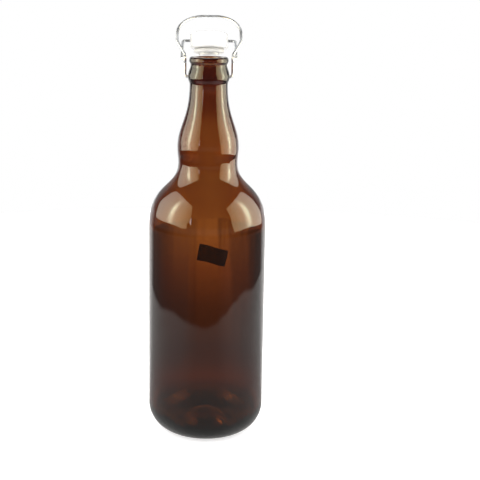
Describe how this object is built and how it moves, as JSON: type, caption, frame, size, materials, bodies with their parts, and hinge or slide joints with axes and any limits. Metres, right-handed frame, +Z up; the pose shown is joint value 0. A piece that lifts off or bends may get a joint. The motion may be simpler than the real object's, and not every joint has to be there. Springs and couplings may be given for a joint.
{
  "type": "swing top bottle",
  "caption": "Tall brown glass bottle with round shoulders, a grip bulb in its neck and a wire swing top closure with a ceramic stopper, shown open.",
  "frame": {"origin": "centre of the resting ring under the base, in the plane it stands on", "axes": "+Z up through the mouth, X along the lever's pivots, +Y to the back, where the closure opens"},
  "size_m": [0.081, 0.0907, 0.291],
  "materials": {
    "amber_glass": "clear amber, fire polished",
    "lever_wire": "zinc plated spring wire",
    "bail_wire": "zinc plated spring wire",
    "white_ceramic": "white glaze",
    "gasket_rubber": "pale silicone, matte",
    "black_sticker": "plain black tape"
  },
  "bodies": {
    "glass": {"bottle": "amber_glass", "sticker": "black_sticker"},
    "lever": {"lever": "lever_wire"},
    "bail": {"bail": "bail_wire"},
    "stopper": {"stopper": "white_ceramic", "gasket": "gasket_rubber"}
  },
  "joints": [
    {"name": "lever_pivot", "type": "hinge", "parent": "glass", "child": "lever", "pos_m": [0, 0, 0.2512], "axis": [1, 0, 0], "range_deg": [0, 200]},
    {"name": "bail_pivot", "type": "hinge", "parent": "lever", "child": "bail", "pos_m": [0, 0.00339, 0.2629], "axis": [1, 0, 0], "range_deg": [-126, 0]},
    {"name": "stopper_tilt", "type": "hinge", "parent": "bail", "child": "stopper", "pos_m": [0, 0.03628, 0.27318], "axis": [1, 0, 0], "range_deg": [-64, 0]}
  ],
  "couplings": [
    {"joint": "bail_pivot", "follows": "lever_pivot", "ratio": -0.63},
    {"joint": "stopper_tilt", "follows": "lever_pivot", "ratio": -0.32}
  ]
}
